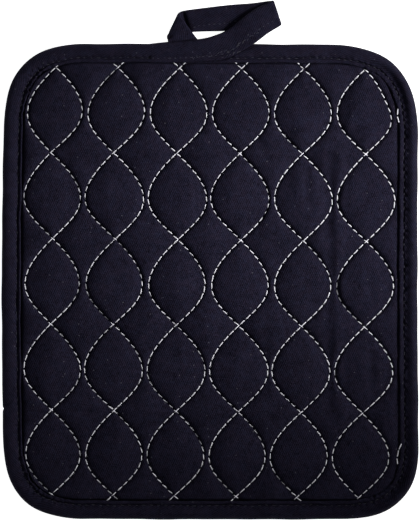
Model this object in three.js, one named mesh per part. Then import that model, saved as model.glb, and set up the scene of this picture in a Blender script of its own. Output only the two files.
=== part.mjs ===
// Quilted cloth trivet: a filled pad with sewn waves, a binding tape and a hanging loop.
// Millimetres, +Z up. It lies on its back with the loop toward +Y.

import * as THREE from 'three';

// Outer edge of the binding, anticlockwise from the lower right corner. Each corner is
// where its two sides would meet, how far back along each side its round starts, and how
// full the round is. The bow is how far the side after the corner swells in its middle,
// and that side is divided into the steps.
const CORNERS = [
  { x: 100.9, y: -125.3, roundIn: 36.8, roundOut: 34.2, fullness: 0.66, bow: -0.4, steps: 9 },
  { x: 100.4, y: 104.4, roundIn: 43.8, roundOut: 44.5, fullness: 0.7, bow: 0, steps: 24 },
  { x: -99.8, y: 105.0, roundIn: 41.1, roundOut: 42.1, fullness: 0.7, bow: 0.85, steps: 9 },
  { x: -100.2, y: -125.1, roundIn: 38.9, roundOut: 39.4, fullness: 0.69, bow: 0.2, steps: 8 },
];
const CORNER_STEPS = 14;

// Sewn waves. They come in mirrored pairs that cross on these rows, from the top down.
// A row gives its height, the middle of its crossings, their pitch and its slope.
const QUILT_ROWS = [
  { y: 92.9, middle: 0.4, pitch: 29.9, slope: -0.008 },
  { y: 51.7, middle: -0.9, pitch: 30.5, slope: -0.006 },
  { y: 9.8, middle: -0.3, pitch: 30.4, slope: -0.01 },
  { y: -31.6, middle: -1.3, pitch: 30.4, slope: -0.01 },
  { y: -73.3, middle: -1.3, pitch: 30.1, slope: -0.011 },
  { y: -114.2, middle: -2.4, pitch: 29.7, slope: -0.012 },
];
const WAVE_PAIRS = 6;
const WAVE_REACH = 13.65;
const WAVE_GAP = 0.9;

// Heights of the pad, and how its filling rises between the waves.
const STITCH_HEIGHT = 3.9;
const PUFF_RISE = 2.7;
const PUFF_ROUNDNESS = 0.75;
const FULL_HALF_WIDTH = 15.2;
const UNDER_GROOVE = 0.8;
const UNDER_GROOVE_REACH = 4.4;

// The pad's rim, squeezed thin inside the binding. Insets are measured from the outline.
const RIM_INSET = 1.9;
const RIM_TOP = 3.3;
const RIM_UNDER = 1.9;
const LIP_INSET = 9.3;
const RIM_RELEASE = 9.3;
const FULL_PAD_INSET = 13;
const FLAT_UNDER_INSET = 16;

// Section of the binding, from the upper lip with its furrow of stitching round the outer
// edge to the lower lip, then back along the inside of the fold.
const BINDING_SECTION = [
  { inset: 9.3, height: 4.7 },
  { inset: 9.2, height: 5.3 },
  { inset: 8.4, height: 5.5 },
  { inset: 7.1, height: 5.1 },
  { inset: 5.8, height: 5.7 },
  { inset: 4.3, height: 6 },
  { inset: 2.6, height: 5.8 },
  { inset: 1.2, height: 5.2 },
  { inset: 0.3, height: 4.2 },
  { inset: 0, height: 2.9 },
  { inset: 0.2, height: 1.6 },
  { inset: 0.9, height: 0.5 },
  { inset: 2.4, height: 0 },
  { inset: 8, height: 0 },
  { inset: 7.9, height: 0.9 },
  { inset: 1.9, height: 1.15 },
  { inset: 1.25, height: 1.8 },
  { inset: 1.3, height: 3.3 },
  { inset: 2.2, height: 4.2 },
  { inset: 4.3, height: 4.6 },
  { inset: 7.1, height: 3.9 },
  { inset: 8.4, height: 4.3 },
];

// The binding's outer edge swells where its tail starts to leave it at the top.
const SWELL = { start: -29, peak: -5, end: 14, rise: 2.1 };

// The hanging loop's tape, in sections from its tail on the binding to its sewn end.
// Each gives its outer and inner edge and its height, and a fold turns about that line.
const LOOP_SECTIONS = [
  { outerX: -5.1, outerY: 95.8, innerX: -5.1, innerY: 106.8, height: 7.3, fold: false },
  { outerX: 6, outerY: 96.8, innerX: 1.2, innerY: 108.2, height: 7.4, fold: false },
  { outerX: 16.2, outerY: 101.2, innerX: 8.5, innerY: 111.3, height: 7.4, fold: false },
  { outerX: 21.9, outerY: 104.7, innerX: 15.2, innerY: 116.4, height: 6.9, fold: false },
  { outerX: 28.2, outerY: 109.7, innerX: 21.9, innerY: 121.2, height: 4.9, fold: false },
  { outerX: 33, outerY: 113.6, innerX: 29, innerY: 124.9, height: 1.95, fold: true },
  { outerX: 19.6, outerY: 112, innerX: 20.6, innerY: 124.1, height: 0.9, fold: false },
  { outerX: 8.5, outerY: 111.1, innerX: 9, innerY: 123.4, height: 0.9, fold: false },
  { outerX: -2.2, outerY: 110.6, innerX: -2.2, innerY: 122.2, height: 0.9, fold: false },
  { outerX: -19, outerY: 107.6, innerX: -13.2, innerY: 119.8, height: 1.95, fold: true },
  { outerX: -20.3, outerY: 106.1, innerX: -5.2, innerY: 107.4, height: 3, fold: false },
];
const TAPE_THICKNESS = 1.8;
const FOLD_RADIUS = 1.05;
const FOLD_STEPS = 6;

// Section of the tape: place across it, and height in half thicknesses.
const TAPE_SECTION = [
  { across: 0, height: 0.45 },
  { across: 0, height: -0.45 },
  { across: 0.04, height: -1 },
  { across: 0.5, height: -1 },
  { across: 0.96, height: -1 },
  { across: 1, height: -0.45 },
  { across: 1, height: 0.45 },
  { across: 0.96, height: 1 },
  { across: 0.5, height: 1 },
  { across: 0.04, height: 1 },
];

// How finely the two faces of the pad are divided. A spread gives the places across a
// band between two waves, as shares of its half width from its middle. Margin rows lie
// past the last crossings, at shares of the way to the pad's edge, and so does its edge
// row, whose ends are where the corners take over. Rim places divide the hidden rim.
const TOP_FACE = { rowsPerWave: 10, marginRows: [0.35, 0.7], spread: [-1, -0.7, -0.25, 0.25, 0.7] };
const UNDER_FACE = { rowsPerWave: 5, marginRows: [0.5], spread: [-1, -0.6, 0, 0.6] };
const RIM_PLACES = [0, 0.5];
const EDGE_ROW = 0.93;
const SAME_PLACE = 0.05;

const PAD_CLOTH = { color: 0x1f1d29, roughness: 0.9, metalness: 0 };
const BINDING_CLOTH = { color: 0x1b1a25, roughness: 0.85, metalness: 0 };

// Corners and sides of the outline as curves, each with its number of steps.
function outlineCurves() {
  const vertices = CORNERS.map((corner) => new THREE.Vector2(corner.x, corner.y));
  const pieces = [];
  CORNERS.forEach((corner, index) => {
    const count = CORNERS.length;
    const here = vertices[index];
    const next = vertices[(index + 1) % count];
    const back = vertices[(index + count - 1) % count].clone().sub(here).normalize();
    const ahead = next.clone().sub(here).normalize();
    const start = here.clone().addScaledVector(back, corner.roundIn);
    const end = here.clone().addScaledVector(ahead, corner.roundOut);
    const startHandle = start.clone().addScaledVector(back, -corner.roundIn * corner.fullness);
    const endHandle = end.clone().addScaledVector(ahead, -corner.roundOut * corner.fullness);
    const round = new THREE.CubicBezierCurve(start, startHandle, endHandle, end);
    const sideEnd = next.clone().addScaledVector(ahead, -CORNERS[(index + 1) % count].roundIn);
    const outward = new THREE.Vector2(ahead.y, -ahead.x);
    const swell = end.clone().lerp(sideEnd, 0.5).addScaledVector(outward, 2 * corner.bow);
    const side = new THREE.QuadraticBezierCurve(end, swell, sideEnd);
    pieces.push({ curve: round, steps: CORNER_STEPS }, { curve: side, steps: corner.steps });
  });
  return pieces;
}

// Stations round the outline, each with its point and its inward direction.
function outlineStations(finer) {
  return outlineCurves().flatMap(({ curve, steps }) => {
    const count = steps * finer;
    return Array.from({ length: count }, (_, step) => {
      const tangent = curve.getTangent(step / count);
      return {
        point: curve.getPoint(step / count),
        inward: new THREE.Vector2(-tangent.y, tangent.x),
      };
    });
  });
}

function insetOutline(inset, finer) {
  return outlineStations(finer).map(({ point, inward }) => point.addScaledVector(inward, inset));
}

const OUTLINE = insetOutline(0, 2);
const PAD_EDGE = insetOutline(RIM_INSET, 4);

// Distance from a point inside the outline to the nearest part of it.
function insetOf(x, y) {
  let nearest = Infinity;
  OUTLINE.forEach((from, index) => {
    const to = OUTLINE[(index + 1) % OUTLINE.length];
    const alongX = to.x - from.x;
    const alongY = to.y - from.y;
    const share = ((x - from.x) * alongX + (y - from.y) * alongY) / (alongX ** 2 + alongY ** 2);
    const held = THREE.MathUtils.clamp(share, 0, 1);
    const gap = Math.hypot(x - from.x - held * alongX, y - from.y - held * alongY);
    nearest = Math.min(nearest, gap);
  });
  return nearest;
}

// Where the sloping line y = base + slope x leaves the pad, on the left and on the right.
function rowEnds(base, slope) {
  const crossings = [];
  PAD_EDGE.forEach((from, index) => {
    const to = PAD_EDGE[(index + 1) % PAD_EDGE.length];
    const before = from.y - base - slope * from.x;
    const after = to.y - base - slope * to.x;
    if (before < 0 !== after < 0) {
      crossings.push(from.x + ((to.x - from.x) * before) / (before - after));
    }
  });
  return { left: Math.min(...crossings), right: Math.max(...crossings) };
}

// Height of the pad's upper or lower edge at x.
function edgeHeight(x, upper) {
  const heights = [];
  PAD_EDGE.forEach((from, index) => {
    const to = PAD_EDGE[(index + 1) % PAD_EDGE.length];
    if (from.x < x !== to.x < x) {
      heights.push(from.y + ((to.y - from.y) * (x - from.x)) / (to.x - from.x));
    }
  });
  return upper ? Math.max(...heights) : Math.min(...heights);
}

// A row of the quilting at a phase, counted in crossings from the top. Past the first and
// last crossings it runs on at the same pitch.
function quiltRow(phase) {
  const last = QUILT_ROWS.length - 1;
  const above = THREE.MathUtils.clamp(Math.floor(phase), 0, last - 1);
  const from = QUILT_ROWS[above];
  const to = QUILT_ROWS[above + 1];
  const share = phase - above;
  const held = THREE.MathUtils.clamp(share, 0, 1);
  const slope = THREE.MathUtils.lerp(from.slope, to.slope, held);
  const base = THREE.MathUtils.lerp(from.y, to.y, share);
  return {
    phase,
    base,
    slope,
    middle: THREE.MathUtils.lerp(from.middle, to.middle, held),
    pitch: THREE.MathUtils.lerp(from.pitch, to.pitch, held),
    ...rowEnds(base, slope),
  };
}

// Rows of one face from the top edge to the bottom edge.
function faceRows(face) {
  const waves = QUILT_ROWS.length - 1;
  const wavePitch = (QUILT_ROWS[0].y - QUILT_ROWS[waves].y) / waves;
  const topMargin = (edgeHeight(0, true) - QUILT_ROWS[0].y) / wavePitch;
  const bottomMargin = (QUILT_ROWS[waves].y - edgeHeight(0, false)) / wavePitch;
  const margin = [...face.marginRows, EDGE_ROW];
  const above = margin.map((share) => quiltRow(-share * topMargin)).reverse();
  const below = margin.map((share) => quiltRow(waves + share * bottomMargin));
  const within = Array.from({ length: waves * face.rowsPerWave + 1 }, (_, step) =>
    quiltRow(step / face.rowsPerWave),
  );
  above[0].edge = 'upper';
  below[below.length - 1].edge = 'lower';
  return [...above, ...within, ...below];
}

// Places that the columns follow in a row: the two lips and every wave between them.
function bandEdges(row) {
  const wave = WAVE_REACH * Math.abs(Math.sin(Math.PI * row.phase));
  const half = Math.max(wave, WAVE_GAP / 2);
  const lip = LIP_INSET - RIM_INSET;
  const edges = [row.left + lip];
  for (let pair = 0; pair < WAVE_PAIRS; pair += 1) {
    const centre = row.middle + (pair - (WAVE_PAIRS - 1) / 2) * row.pitch;
    edges.push(centre - half, centre + half);
  }
  edges.push(row.right - lip);
  const held = edges.map((x) => THREE.MathUtils.clamp(x, row.left, row.right));
  held[0] = Math.min(held[0], held[1]);
  held[held.length - 1] = Math.max(held[held.length - 1], held[held.length - 2]);
  return held;
}

// Every column's place in a row, with the half width of its band and its share across it.
function columnPlaces(row, spread) {
  const edges = bandEdges(row);
  const places = RIM_PLACES.map((share) => ({
    x: THREE.MathUtils.lerp(row.left, edges[0], share),
    half: 0,
    across: 1,
  }));
  for (let band = 0; band < edges.length - 1; band += 1) {
    const half = (edges[band + 1] - edges[band]) / 2;
    const centre = edges[band] + half;
    spread.forEach((across) => places.push({ x: centre + half * across, half, across }));
  }
  [...RIM_PLACES, 1].forEach((share) => {
    const x = THREE.MathUtils.lerp(edges[edges.length - 1], row.right, share);
    places.push({ x, half: 0, across: 1 });
  });
  return places;
}

function topHeight(inset, place) {
  const fullness = (place.half / FULL_HALF_WIDTH) ** PUFF_ROUNDNESS;
  const crown = Math.max(1 - place.across ** 2, 0) ** PUFF_ROUNDNESS;
  const panel = STITCH_HEIGHT + PUFF_RISE * fullness * crown;
  const release = THREE.MathUtils.smoothstep(inset, RIM_RELEASE, FULL_PAD_INSET);
  return THREE.MathUtils.lerp(RIM_TOP, panel, release);
}

function underHeight(inset, place) {
  const toWave = place.half * (1 - Math.abs(place.across));
  const groove = 1 - THREE.MathUtils.smoothstep(toWave, 0, UNDER_GROOVE_REACH);
  const release = THREE.MathUtils.smoothstep(inset, RIM_RELEASE, FLAT_UNDER_INSET);
  return THREE.MathUtils.lerp(RIM_UNDER, UNDER_GROOVE * groove, release);
}

// One face of the pad as a grid of vertex numbers, its rows cut off at the pad's edge.
function padFace(vertices, face, heightOf) {
  return faceRows(face).map((row) => {
    let previous = null;
    return columnPlaces(row, face.spread).map((place) => {
      if (previous === null || place.x - previous.x > SAME_PLACE) {
        const atEnd = place.x <= row.left || place.x >= row.right;
        const onLine = row.base + row.slope * place.x;
        const y = row.edge && !atEnd ? edgeHeight(place.x, row.edge === 'upper') : onLine;
        vertices.push(place.x, y, heightOf(insetOf(place.x, y), place));
        previous = { x: place.x, index: vertices.length / 3 - 1 };
      }
      return previous.index;
    });
  });
}

function addTriangle(triangles, a, b, c) {
  if (a !== b && b !== c && c !== a) {
    triangles.push(a, b, c);
  }
}

// Triangles over a grid of vertex numbers, each square split along its shorter diagonal.
function coverGrid(vertices, triangles, grid, facingUp) {
  const at = (index) => new THREE.Vector3().fromArray(vertices, 3 * index);
  const add = (a, b, c) => {
    if (facingUp) {
      addTriangle(triangles, a, b, c);
    } else {
      addTriangle(triangles, a, c, b);
    }
  };
  for (let row = 0; row < grid.length - 1; row += 1) {
    for (let column = 0; column < grid[row].length - 1; column += 1) {
      const [upLeft, upRight] = [grid[row][column], grid[row][column + 1]];
      const [lowLeft, lowRight] = [grid[row + 1][column], grid[row + 1][column + 1]];
      if (at(upLeft).distanceTo(at(lowRight)) < at(upRight).distanceTo(at(lowLeft))) {
        add(upLeft, lowLeft, lowRight);
        add(upLeft, lowRight, upRight);
      } else {
        add(upLeft, lowLeft, upRight);
        add(upRight, lowLeft, lowRight);
      }
    }
  }
}

// The rim of a grid, anticlockwise from its upper left corner.
function gridRim(grid) {
  const left = grid.map((row) => row[0]);
  const right = grid.map((row) => row[row.length - 1]).reverse();
  const loop = [...left, ...grid[grid.length - 1], ...right, ...[...grid[0]].reverse()];
  return loop.filter((index, step) => index !== loop[(step + loop.length - 1) % loop.length]);
}

// A wall between two rims that start at the same place, stepping along whichever is behind.
function joinRims(vertices, triangles, upper, lower) {
  const lengths = (rim) => {
    const travelled = [0];
    for (let step = 0; step < rim.length; step += 1) {
      const [from, to] = [rim[step] * 3, rim[(step + 1) % rim.length] * 3];
      const stride = Math.hypot(vertices[to] - vertices[from], vertices[to + 1] - vertices[from + 1]);
      travelled.push(travelled[step] + stride);
    }
    return travelled.map((length) => length / travelled[rim.length]);
  };
  const upperShare = lengths(upper);
  const lowerShare = lengths(lower);
  let [high, low] = [0, 0];
  while (high < upper.length || low < lower.length) {
    const from = upper[high % upper.length];
    const base = lower[low % lower.length];
    const highNext = high < upper.length ? upperShare[high + 1] : Infinity;
    const lowNext = low < lower.length ? lowerShare[low + 1] : Infinity;
    if (highNext <= lowNext) {
      high += 1;
      addTriangle(triangles, from, base, upper[high % upper.length]);
    } else {
      low += 1;
      addTriangle(triangles, from, base, lower[low % lower.length]);
    }
  }
}

function solidFrom(vertices, triangles) {
  const geometry = new THREE.BufferGeometry();
  geometry.setAttribute('position', new THREE.Float32BufferAttribute(vertices, 3));
  geometry.setIndex(triangles);
  geometry.computeVertexNormals();
  return geometry;
}

function quiltedPad() {
  const vertices = [];
  const triangles = [];
  const top = padFace(vertices, TOP_FACE, topHeight);
  const under = padFace(vertices, UNDER_FACE, underHeight);
  coverGrid(vertices, triangles, top, true);
  coverGrid(vertices, triangles, under, false);
  joinRims(vertices, triangles, gridRim(top), gridRim(under));
  return solidFrom(vertices, triangles);
}

// Sections in order, each a closed loop of points, skinned with squares split in two.
// A closed run joins its last section to its first, and an open one is capped.
function skinSections(sections, closed) {
  const size = sections[0].length;
  const vertices = sections.flat().flatMap((point) => [point.x, point.y, point.z]);
  const triangles = [];
  const spans = closed ? sections.length : sections.length - 1;
  for (let span = 0; span < spans; span += 1) {
    const here = span * size;
    const next = ((span + 1) % sections.length) * size;
    for (let side = 0; side < size; side += 1) {
      const after = (side + 1) % size;
      triangles.push(here + side, here + after, next + after);
      triangles.push(here + side, next + after, next + side);
    }
  }
  if (!closed) {
    const end = (sections.length - 1) * size;
    for (let side = 1; side < size - 1; side += 1) {
      triangles.push(0, side + 1, side);
      triangles.push(end, end + side, end + side + 1);
    }
  }
  return solidFrom(vertices, triangles);
}

function edgeSwell({ x, y }) {
  if (y < 0) {
    return 0;
  }
  const rising = THREE.MathUtils.smoothstep(x, SWELL.start, SWELL.peak);
  const falling = 1 - THREE.MathUtils.smoothstep(x, SWELL.peak, SWELL.end);
  return SWELL.rise * rising * falling;
}

function edgeBinding() {
  const sections = outlineStations(1).map(({ point, inward }) =>
    BINDING_SECTION.map(({ inset, height }) => {
      const swell = edgeSwell(point) * (1 - inset / LIP_INSET);
      const place = point.clone().addScaledVector(inward, inset - swell);
      return new THREE.Vector3(place.x, place.y, height);
    }),
  );
  return skinSections(sections, true);
}

// Lines across the tape in order, each with its two edges and the way its face looks. A
// fold swings the line round its own axis until the face looks the other way.
function tapeLines() {
  const lines = [];
  let facing = 1;
  LOOP_SECTIONS.forEach((section, index) => {
    const outer = new THREE.Vector3(section.outerX, section.outerY, section.height);
    const inner = new THREE.Vector3(section.innerX, section.innerY, section.height);
    if (!section.fold) {
      lines.push({ outer, inner, face: new THREE.Vector3(0, 0, facing) });
      return;
    }
    const axis = inner.clone().sub(outer).normalize();
    const before = LOOP_SECTIONS[index - 1];
    const rise = Math.sign(LOOP_SECTIONS[index + 1].height - before.height);
    const start = new THREE.Vector3(0, 0, -rise);
    const away = outer.clone().sub(new THREE.Vector3(before.outerX, before.outerY, outer.z));
    const turn = Math.sign(new THREE.Vector3().crossVectors(axis, start).dot(away));
    for (let step = 0; step <= FOLD_STEPS; step += 1) {
      const arm = start.clone().applyAxisAngle(axis, (turn * Math.PI * step) / FOLD_STEPS);
      lines.push({
        outer: outer.clone().addScaledVector(arm, FOLD_RADIUS),
        inner: inner.clone().addScaledVector(arm, FOLD_RADIUS),
        face: arm.clone().multiplyScalar(-rise * facing),
      });
    }
    facing = -facing;
  });
  return lines;
}

function hangingLoop() {
  const sections = tapeLines().map(({ outer, inner, face }) =>
    TAPE_SECTION.map(({ across, height }) =>
      outer.clone().lerp(inner, across).addScaledVector(face, (height * TAPE_THICKNESS) / 2),
    ),
  );
  return skinSections(sections, false);
}

function piece(name, geometry, cloth) {
  const mesh = new THREE.Mesh(geometry, new THREE.MeshStandardMaterial(cloth));
  mesh.name = name;
  return mesh;
}

const trivet = new THREE.Group();
trivet.add(piece('quilted_pad', quiltedPad(), PAD_CLOTH));
trivet.add(piece('edge_binding', edgeBinding(), BINDING_CLOTH));
trivet.add(piece('hanging_loop', hangingLoop(), BINDING_CLOTH));

export default trivet;
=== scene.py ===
"""Quilted cloth trivet: its pad, binding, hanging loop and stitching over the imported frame.

Every piece is a surface worked out from the sizes that the solids were made from. Sizes are
in millimetres and become metres where a mesh is made.
"""

from collections import namedtuple

import bmesh
import bpy
import numpy as np
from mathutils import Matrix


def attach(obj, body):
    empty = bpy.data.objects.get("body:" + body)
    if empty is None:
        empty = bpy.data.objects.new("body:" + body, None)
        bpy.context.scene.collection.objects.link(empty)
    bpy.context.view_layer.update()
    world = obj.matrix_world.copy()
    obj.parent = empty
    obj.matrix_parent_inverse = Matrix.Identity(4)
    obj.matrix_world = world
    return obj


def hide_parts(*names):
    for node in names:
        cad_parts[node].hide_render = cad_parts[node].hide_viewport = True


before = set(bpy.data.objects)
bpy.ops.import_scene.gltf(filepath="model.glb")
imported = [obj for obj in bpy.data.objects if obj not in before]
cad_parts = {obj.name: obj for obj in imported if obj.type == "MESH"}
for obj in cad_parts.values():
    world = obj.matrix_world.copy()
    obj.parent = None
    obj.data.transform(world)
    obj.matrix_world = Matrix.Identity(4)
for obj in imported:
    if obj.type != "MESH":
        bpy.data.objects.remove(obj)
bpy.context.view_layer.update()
MM = 0.001
WELD_REACH = 2e-6
MOTTLE_WAVES = 9

# Outer edge of the binding, anticlockwise from the lower right corner: where two sides
# would meet, how far back along each the round starts, how full it is, and the next bow.
Corner = namedtuple("Corner", "x y round_in round_out fullness bow")
CORNERS = [Corner(*row) for row in (
    (100.9, -125.3, 36.8, 34.2, 0.66, -0.4),
    (100.4, 104.4, 43.8, 44.5, 0.7, 0.0),
    (-99.8, 105.0, 41.1, 42.1, 0.7, 0.85),
    (-100.2, -125.1, 38.9, 39.4, 0.69, 0.2),
)]

# Rows on which the sewn waves cross, from the top down: height, middle, pitch and slope.
QuiltRow = namedtuple("QuiltRow", "y middle pitch slope")
QUILT_ROWS = [QuiltRow(*row) for row in (
    (92.9, 0.4, 29.9, -0.008),
    (51.7, -0.9, 30.5, -0.006),
    (9.8, -0.3, 30.4, -0.01),
    (-31.6, -1.3, 30.4, -0.01),
    (-73.3, -1.3, 30.1, -0.011),
    (-114.2, -2.4, 29.7, -0.012),
)]
TOP_ROW, BOTTOM_ROW = QUILT_ROWS[0].y, QUILT_ROWS[-1].y
WAVE_LENGTH = TOP_ROW - QUILT_ROWS[1].y
WAVE_PAIRS = 6
WAVE_REACH = 13.65
WAVE_GAP = 0.5
WAVE_SAG = 1.0
LAST_PAIR_STEP = 29.0
LAST_PAIR_DRIFT = 0.52
LAST_PAIR_EDGE = 89.7

# Heights of the pad and of its rim inside the binding.
STITCH_HEIGHT = 3.9
LIP_STITCH_HEIGHT = 4.4
EDGE_STITCH_HEIGHT = 4.9
PUFF_RISE = 2.7
PUFF_ROUNDNESS = 0.75
PUFF_WIDTH_POWER = 0.6
FULL_HALF_WIDTH = 15.2
GROOVE_DEPTH = 0.45
GROOVE_WIDTH = 0.8
PUCKER_RISE = 0.16
PUCKER_REACH = 2.2
UNDER_GROOVE = 0.8
UNDER_GROOVE_REACH = 3.6
RIM_INSET = 1.9
RIM_TOP = 2.6
RIM_UNDER = 1.9
LIP_INSET = 9.3
TOP_RELEASE = 8.9
FULL_TOP_INSET = 10.0
UNDER_RELEASE = 9.3
FLAT_UNDER_INSET = 16.0

# Soft creases pressed into the pad's face, as shown: two ends, half width and rise.
CREASES = (
    (58.0, 54.0, 57.4, -74.0, 2.4, -0.75), (62.6, 54.0, 62.0, -74.0, 2.4, 0.6),
    (27.6, -24.0, 27.4, -74.0, 2.0, -0.4), (23.2, 60.0, 29.4, 47.0, 1.8, -0.6),
    (46.8, 45.0, 48.6, 25.0, 1.8, -0.95), (42.0, 44.0, 43.5, 28.0, 2.0, 0.4),
    (77.2, -6.0, 77.6, -20.0, 1.7, -0.8), (78.0, -43.0, 78.2, -63.0, 1.7, -1.0),
    (82.4, -43.0, 82.6, -62.0, 1.8, 0.5), (25.2, -74.8, 33.4, -80.0, 1.4, -0.6),
    (-61.0, 8.0, -54.0, 14.0, 2.0, -0.45), (70.5, 78.0, 66.0, 62.0, 2.4, 0.5),
)

# Division of the pad: rows to a wave, squares across a band and across the hidden rim,
# and how much coarser the under face is.
ROWS_PER_WAVE = 40
MARGIN_ROWS = 16
BAND_SQUARES = 20
RIM_SQUARES = 4
UNDER_STRIDE = 2

# Section of the binding from the upper lip round the outer edge to the lower lip, and
# back along the inside of the fold: inset from the outline, and height.
BINDING_OUTSIDE = (
    (9.3, 4.3), (9.25, 4.8), (8.9, 5.1), (8.3, 5.2), (7.6, 5.1), (6.9, 5.2), (5.8, 5.6),
    (4.3, 5.9), (2.6, 5.8), (1.2, 5.2), (0.3, 4.2), (0.0, 2.9), (0.2, 1.6), (0.9, 0.5),
    (2.4, 0.0), (8.0, 0.0),
)
BINDING_INSIDE = (
    (7.9, 0.9), (1.9, 1.15), (1.25, 1.8), (1.3, 3.3), (2.2, 4.2), (4.3, 4.4), (6.4, 3.1),
    (8.6, 3.1),
)
BINDING_STATIONS = 1500
OUTSIDE_POINTS = 42
INSIDE_POINTS = 12
FURROW_STATIONS = 4000
BINDING_START_X = 6.0
FURROW_INSET = 7.1
FURROW_SHIFT = 0.6
FURROW_PITCH = 3.5
LIP_SHIFT = 0.5
EDGE_FULLNESS = 0.35

# Pleats in the binding's lip where it was eased round a corner: place and depth.
PLEATS = (
    (-87.6, 83.6, 1.0), (-83.4, 89.6, 0.5), (-91.0, 76.0, 0.35), (87.0, 87.5, 0.15),
    (90.3, 80.0, 0.25), (-86.0, -100.5, 0.8), (-80.5, -106.5, 0.55), (-89.5, -93.0, 0.4),
    (76.0, -108.0, 0.4),
)
SWELL_START, SWELL_PEAK, SWELL_END, SWELL_RISE = -29.0, -5.0, 14.0, 2.1
JOIN_PLACE = (-93.6, -65.3)
TAIL_PRESS = 1.3

# Sections of the loop's tape, from its tail on the binding to its sewn end: the ring's
# outer edge, its inner edge, the thickness, how closely it hugs the binding, where its sewn
# row runs in from the outer edge, and whether it folds there.
Section = namedtuple("Section", "outer inner thickness hug seam fold", defaults=[False])
LOOP_SECTIONS = [Section(*row) for row in (
    ((-29.0, 95.4, 5.5), (-29.0, 104.9, 5.5), 0.1, 1.0, 2.3),
    ((-17.0, 95.5, 6.0), (-17.0, 106.1, 6.0), 0.4, 1.0, 2.3),
    ((-5.1, 95.8, 6.6), (-5.1, 107.1, 6.4), 1.0, 0.7, 2.4),
    ((6.0, 96.8, 7.2), (1.2, 108.4, 5.9), 1.5, 0.3, 2.6),
    ((16.2, 101.4, 7.3), (8.4, 111.5, 4.0), 1.7, 0.05, 3.2),
    ((21.9, 104.9, 6.9), (15.2, 116.7, 4.3), 1.8, 0.0, 3.9),
    ((28.2, 109.8, 5.0), (21.9, 121.6, 4.1), 1.8, 0.0, 4.0),
    ((33.2, 113.4, 1.95), (29.0, 125.5, 1.95), 1.8, 0.0, 4.0, True),
    ((19.6, 112.0, 0.9), (20.6, 124.7, 1.0), 1.8, 0.0, 4.6),
    ((8.5, 111.2, 1.2), (9.0, 123.8, 1.2), 1.8, 0.0, 4.0),
    ((-7.3, 110.7, 1.5), (-10.9, 121.3, 1.6), 1.8, 0.0, 2.6),
    ((-9.7, 110.1, 0.55), (-12.4, 120.8, 0.7), 0.9, 0.0, 2.3),
    ((-19.35, 107.4, 1.95), (-13.4, 119.6, 1.95), 1.7, 0.0, 2.3, True),
    ((-20.4, 106.3, 3.8), (-8.7, 110.6, 3.6), 1.7, 0.0, 2.3),
    ((-19.6, 103.4, 1.3), (-4.9, 105.8, 1.3), 1.6, 0.0, 2.3),
)]
FOLD_RADIUS = 1.05
FOLD_STEPS = 12
SPAN_STEPS = 8

# Quilting thread and the binding's thread. A stitch has rings along it and sides round it.
STITCH_PITCH = 3.72
STITCHED_REACH = (99.0, 108.0)
STITCH_LENGTH = 3.0
RISING_STITCH_LENGTH = 3.3
STITCH_RADIUS = 0.27
STITCH_SLANT = 5.0
TRIM_LENGTH = 1.5
TRIM_RADIUS = 0.12
DASH_RINGS = 9
DASH_SIDES = 7
PLY_TWIST = 1.3
UP, DOWN = (0.0, 0.0, 1.0), (0.0, 0.0, -1.0)
BACKTACK = (
    (-8.6, 98.4, -4.9, 98.4, 4, 1.3), (-1.2, 98.3, 1.0, 98.6, 3, 1.2),
    (4.0, 100.1, 8.4, 101.1, 4, 0.5), (8.8, 100.6, 13.4, 103.8, 5, 0.0),
    (13.5, 104.0, 17.2, 106.0, 4, 0.1), (6.5, 98.4, 11.6, 99.6, 4, 0.2),
    (11.4, 99.8, 13.8, 101.0, 4, 0.5), (19.3, 107.4, 22.6, 109.6, 3, 0.1),
)

# Weave: the pitch of its ribs and the way they run, in degrees from the cloth's length.
TWILL_PITCH = 0.89
TWILL_ANGLE = 66.0
TAPE_TWILL_ANGLE = 30.0


def shares(count):
    """Even shares from 0 up to, but without, 1."""
    return np.linspace(0, 1, count, endpoint=False)


def waver(place, pitch, seed):
    """A smooth uneven wave, about -1 to 1: three sines of unlike pitch and seeded phase."""
    phases = np.random.default_rng(seed).uniform(0, 2 * np.pi, 3)
    ratios = (1.0, 0.62, 1.71)
    waves = [np.sin(2 * np.pi * place / (pitch * r) + p) for r, p in zip(ratios, phases)]
    return sum(waves) / 2.2


def mottle(x, y, pitch, seed):
    """Soft unevenness over a plane, about -1 to 1: sines that run in seeded directions."""
    chance = np.random.default_rng(seed)
    total = np.zeros_like(x)
    for _ in range(MOTTLE_WAVES):
        angle, phase = chance.uniform(0, 2 * np.pi, 2)
        step = 2 * np.pi / (pitch * chance.uniform(0.7, 1.5))
        total += np.sin(step * (x * np.cos(angle) + y * np.sin(angle)) + phase)
    return total / np.sqrt(MOTTLE_WAVES * 1.5)


def smoothstep(value, low, high):
    """0 below low, 1 above high, and a smooth cubic between them."""
    share = np.clip((value - low) / (high - low), 0, 1)
    return share * share * (3 - 2 * share)


def bell(distance, reach):
    """A smooth bell, 1 high at no distance and low past its reach."""
    return np.exp(-((distance / reach) ** 2))


def blend(low, high, share):
    """From low to high by a share."""
    return low * (1 - share) + high * share


def bezier(points, share):
    """A Bezier curve: neighbouring points are blended until one is left."""
    layers = [np.asarray(point, float) * np.ones((len(share), 1)) for point in points]
    while len(layers) > 1:
        layers = [blend(a, b, share[:, None]) for a, b in zip(layers, layers[1:])]
    return layers[0]


def unit(vectors):
    """Vectors brought to length 1."""
    return vectors / np.linalg.norm(vectors, axis=-1, keepdims=True)


def travelled(line):
    """Length so far at each point of a line."""
    strides = np.linalg.norm(np.diff(line, axis=0), axis=1)
    return np.hstack([0.0, np.cumsum(strides)])


def points_at(line, reach, marks):
    """Points of a line at some marks, from the reach that each of its own points has."""
    return np.stack([np.interp(marks, reach, values) for values in line.T], axis=1)


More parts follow.
